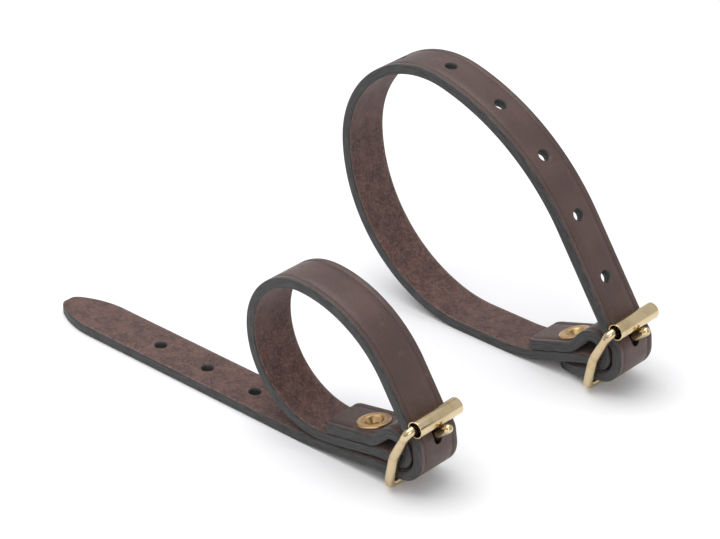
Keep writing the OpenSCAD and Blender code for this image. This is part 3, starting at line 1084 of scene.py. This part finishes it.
class Buckle:
    """A double-bar buckle: frame, roller and tongue."""

    def __init__(self, name: str, bar: Vector, roller_at: Vector, size: BuckleSize) -> None:
        """Keeps where the buckle stands.

        Args:
            name: The strap's name: small or large.
            bar: The centre bar's place, in metres.
            roller_at: The roller's axis, in metres.
            size: The buckle's sizes.
        """
        self.name, self.bar, self.roller_at, self.size = name, bar, roller_at, size

    def rim(self) -> list[Vector]:
        """Returns the centre line of the frame's outer rod, as one closed path."""
        s = self.size
        lean, low = math.radians(s.upper_lean), math.radians(s.lower_lean)
        top = Vector((math.sin(lean), 0, math.cos(lean))) * s.upper_len
        bottom = Vector((-math.sin(low), 0, -math.cos(low))) * s.lower_len
        wide, narrow = Vector((0, s.arm_y + s.flare, 0)), Vector((0, s.arm_y, 0))
        corners = [narrow, top + wide, top - wide, -narrow, bottom - narrow, bottom + narrow]
        radii = [s.bend_r, s.corner_r, s.corner_r, s.bend_r, s.corner_r, s.corner_r]
        return spaced(rounded_path(corners, radii), s.path_step)

    def frame(self, material: bpy.types.Material) -> None:
        """Makes the frame: its rod, which swells where it meets the centre bar, and that bar."""
        s = self.size
        bm = bmesh.new()
        rim = self.rim()
        radii = [s.bar_r + (s.boss_r - s.bar_r) * max(0.0, 1 - (p.xz.length / s.swell_len) ** 2)
                 for p in rim]
        sweep(bm, rim, radii, loop=True)
        sweep(bm, [Vector((0, -s.arm_y, 0)), Vector((0, s.arm_y, 0))], [s.bar_r] * 2)
        bmesh.ops.translate(bm, vec=self.bar, verts=bm.verts)
        made = make_object(f"{self.name}_frame", bm, [material])
        put(made, f"{self.name}_frame", f"{self.name}_buckle_frame")

    def roller(self, material: bpy.types.Material) -> None:
        """Makes the roller: sheet rolled into a tube, with a seam and rounded rims."""
        s = self.size
        half, inner = s.roller_len / 2, s.roller_r - s.roller_wall
        corners = [(inner, -half), (s.roller_r, -half), (s.roller_r, half), (inner, half)]
        bm = bmesh.new()
        verts = lathe(bm, round_corner(corners, 0.24), 96, 358.4, closed=True)
        lie = Matrix.Rotation(math.radians(90), 4, "X")
        seam = Matrix.Rotation(math.radians(75), 4, "Y")
        frame = Matrix.Translation(self.roller_at) @ seam @ lie
        bmesh.ops.transform(bm, matrix=frame, verts=verts)
        made = make_object(f"{self.name}_roller_tube", bm, [material])
        put(made, f"{self.name}_roller", f"{self.name}_roller")

    def tongue(self, material: bpy.types.Material) -> None:
        """Makes the tongue: an eye round the centre bar, and a round shank with a blunt end."""
        s = self.size
        bm = bmesh.new()
        half = s.eye_w / 2
        ring = [(s.eye_bore_r, -half), (s.eye_r, -half), (s.eye_r, half), (s.eye_bore_r, half)]
        verts = lathe(bm, round_corner(ring, 0.55), 64, closed=True)
        bmesh.ops.transform(bm, matrix=Matrix.Rotation(math.radians(90), 4, "X"), verts=verts)
        line = unit(s.tongue_angle)
        reach = s.tongue_reach
        shank = [(2.35, 1.3), (3.2, 1.55), (4.4, s.tongue_r), (9.0, s.tongue_r),
                 (14.0, s.tongue_r), (reach - 2.6, s.tongue_r), (reach - 1.6, 1.66),
                 (reach - 0.9, 1.52), (reach - 0.42, 1.26), (reach - 0.14, 0.9),
                 (reach - 0.03, 0.5), (reach, 0.15)]
        path = [Vector((line.x * along, 0, line.y * along)) for along, _ in shank]
        sweep(bm, path, [radius for _, radius in shank], 32)
        bmesh.ops.translate(bm, vec=self.bar, verts=bm.verts)
        made = make_object(f"{self.name}_tongue_pin", bm, [material])
        put(made, f"{self.name}_tongue", f"{self.name}_tongue")

    def build(self, finishes: dict[str, bpy.types.Material]) -> None:
        """Makes the buckle's three pieces."""
        self.frame(finishes["frame"])
        self.roller(finishes["roller"])
        self.tongue(finishes["tongue"])


@dataclass
class EyeletSize:
    """The eyelet's sizes, in millimetres."""

    rim_r: float = 6.5
    rim_h: float = 0.75
    barrel_r: float = 2.8
    bore_r: float = 2.3
    dish: float = 1.7
    dish_r: float = 4.5
    grip: float = 8.0
    ring_r: float = 5.2
    ring_t: float = 0.4
    clench_r: float = 4.1
    seat: float = 0.02


class Eyelet:
    """The eyelet that holds flap and body together, and the ring it is clenched over."""

    def __init__(self, name: str, lay: Lay, bar: Vector, size: EyeletSize) -> None:
        """Keeps where the eyelet stands."""
        self.name, self.size, self.frame = name, size, lay.eyelet_frame(bar)

    def _turned(self, profile: Profile, piece: str, node: str,
                material: bpy.types.Material) -> None:
        """Spins a closed profile on the eyelet's axis, as one piece."""
        bm = bmesh.new()
        verts = lathe(bm, profile, 72, closed=True)
        bmesh.ops.transform(bm, matrix=self.frame, verts=verts)
        made = make_object(f"{self.name}_{piece}", bm, [material], EYELET_CRISP)
        put(made, f"{self.name}_strap", f"{self.name}_{node}")

    def build(self, material: bpy.types.Material) -> None:
        """Makes the eyelet and its ring."""
        s = self.size
        end = -s.grip - s.ring_t - 0.4 - 2 * s.seat
        eyelet = [
            (s.bore_r, end + 0.15), (s.bore_r + 0.25, end), (s.clench_r - 0.3, end),
            (s.clench_r, end + 0.2), (s.clench_r - 0.1, end + 0.4), (s.barrel_r, end + 0.4),
            (s.barrel_r, -s.dish), (s.dish_r, s.seat), (s.rim_r - 0.1, s.seat), (s.rim_r, 0.15),
            (s.rim_r - 0.04, 0.34), (s.rim_r - 0.18, 0.52), (s.rim_r - 0.45, 0.64),
            (s.rim_r - 0.9, 0.71), (s.rim_r - 1.4, s.rim_h), (s.rim_r - 2.0, 0.73),
            (4.1, 0.66), (3.8, 0.5), (3.5, 0.2), (3.2, -0.25), (2.85, -0.8),
            (s.bore_r + 0.2, -1.3),
            (s.bore_r, 0.05 - s.dish),
        ]
        self._turned(eyelet, "eyelet_cup", "eyelet", material)
        low = -s.grip - s.seat - s.ring_t
        bore = s.barrel_r + s.seat
        ring = [(bore, low), (s.ring_r, low), (s.ring_r, low + s.ring_t), (bore, low + s.ring_t)]
        self._turned(round_corner(ring, 0.15), "ring_washer", "clench_ring", material)


# ---------------------------------------------------------------- the studio


@dataclass(frozen=True)
class FloorFinish:
    """Plain pale floor."""

    colour: tuple = srgb(240, 240, 240)

    def make(self) -> bpy.types.Material:
        """Returns the material."""
        g = Graph("studio_floor")
        return g.finish(Base_Color=self.colour, Roughness=0.9, Specular_IOR_Level=0.05)


def aimed(place: Vector, along: Vector, axis: str) -> Matrix:
    """Returns a frame at a place, with its `axis` along a direction and Y up."""
    turn = along.to_track_quat(axis, "Y").to_matrix().to_4x4()
    return Matrix.Translation(place) @ turn


@dataclass
class Studio:
    """Floor, camera and lights."""

    eye: Vector = field(default_factory=lambda: Vector((625.76, -682.97, 556.81)) * MM)
    azimuth: float = 42.24
    elevation: float = 29.34
    lens: float = 140.0
    sensor: float = 36.0
    target: Vector = field(default_factory=lambda: Vector((0, 0, 0.04)))
    low_target: Vector = field(default_factory=lambda: Vector((0, 0, 0.02)))
    floor_half: float = 6.0
    world_strength: float = 0.72
    drop: float = 0.03 * MM

    def floor(self) -> None:
        """Makes the floor."""
        bm = bmesh.new()
        bmesh.ops.create_grid(bm, x_segments=1, y_segments=1, size=self.floor_half)
        bmesh.ops.translate(bm, vec=(0, 0, -self.drop), verts=bm.verts)
        make_object("floor", bm, [FloorFinish().make()])

    def camera(self) -> None:
        """Makes the camera and looks through it."""
        turn, tilt = math.radians(self.azimuth), math.radians(self.elevation)
        back = Vector((math.sin(turn) * math.cos(tilt), -math.cos(turn) * math.cos(tilt),
                       math.sin(tilt)))
        data = bpy.data.cameras.new("camera")
        data.lens, data.sensor_width = self.lens, self.sensor
        data.clip_end = 50.0
        made = bpy.data.objects.new("camera", data)
        made.matrix_world = aimed(self.eye, back, "Z")
        bpy.context.scene.collection.objects.link(made)
        bpy.context.scene.camera = made

    def light(self, name: str, place: tuple, size: float, power: float) -> None:
        """Adds an area light that points at the object."""
        data = bpy.data.lights.new(name, "AREA")
        data.size, data.energy = size, power
        made = bpy.data.objects.new(name, data)
        at = Vector(place)
        made.matrix_world = aimed(at, self.target - at, "-Z")
        bpy.context.scene.collection.objects.link(made)

    def card(self, name: str, place: tuple, size: tuple) -> None:
        """Adds a dark card that only shows in reflections."""
        bm = bmesh.new()
        bmesh.ops.create_grid(bm, x_segments=1, y_segments=1, size=0.5)
        at = Vector(place)
        frame = aimed(at, self.low_target - at, "Z") @ Matrix.Diagonal((*size, 1, 1))
        bmesh.ops.transform(bm, matrix=frame, verts=bm.verts)
        g = Graph(f"{name}_finish")
        made = make_object(name, bm, [g.finish(Base_Color=srgb(28, 26, 24), Roughness=1.0)])
        made.visible_camera = made.visible_shadow = made.visible_diffuse = False

    def build(self) -> None:
        """Sets the studio up."""
        self.floor()
        self.camera()
        world = bpy.data.worlds.new("studio")
        world.use_nodes = True
        background = world.node_tree.nodes["Background"]
        background.inputs["Color"].default_value = srgb(250, 251, 255)
        background.inputs["Strength"].default_value = self.world_strength
        bpy.context.scene.world = world
        self.light("key", (-0.25, -0.1, 1.2), 1.3, 13.0)
        self.light("fill", (1.2, -0.9, 0.8), 0.9, 4.0)
        self.card("card_right", (1.0, 0.1, 0.30), (1.0, 0.22))
        self.card("card_front", (0.1, -1.1, 0.22), (1.1, 0.18))
        bpy.context.scene.view_settings.view_transform = "Standard"
        log.info("studio ready")


# ---------------------------------------------------------------- building


def joint_place(frame: dict, name: str) -> Vector:
    """Returns a joint's position in metres.

    Args:
        name: The joint's name.

    Returns:
        Its position.
    """
    joint = next(j for j in frame["joints"] if j["name"] == name)
    return Vector(joint["pos_m"])


def main() -> None:
    """Builds the two straps and the studio."""
    logging.basicConfig(level=logging.INFO, format="%(name)s: %(message)s")
    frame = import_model()
    leather = [GrainFinish().make(), SuedeFinish().make(), EdgeFinish().make()]
    finishes = {"frame": FRAME_BRASS.make(), "roller": ROLLER_BRASS.make(),
                "tongue": TONGUE_BRASS.make()}
    eyelet_brass = EYELET_BRASS.make()
    for name, lay in (("small", SMALL_LAY), ("large", LARGE_LAY)):
        bar = joint_place(frame, f"{name}_frame_rock")
        roller_at = joint_place(frame, f"{name}_roller_spin")
        Strap(name, lay, bar, leather).build()
        Buckle(name, bar, roller_at, BuckleSize()).build(finishes)
        Eyelet(name, lay, bar, EyeletSize()).build(eyelet_brass)
    Studio().build()


if __name__ == "__main__":
    main()
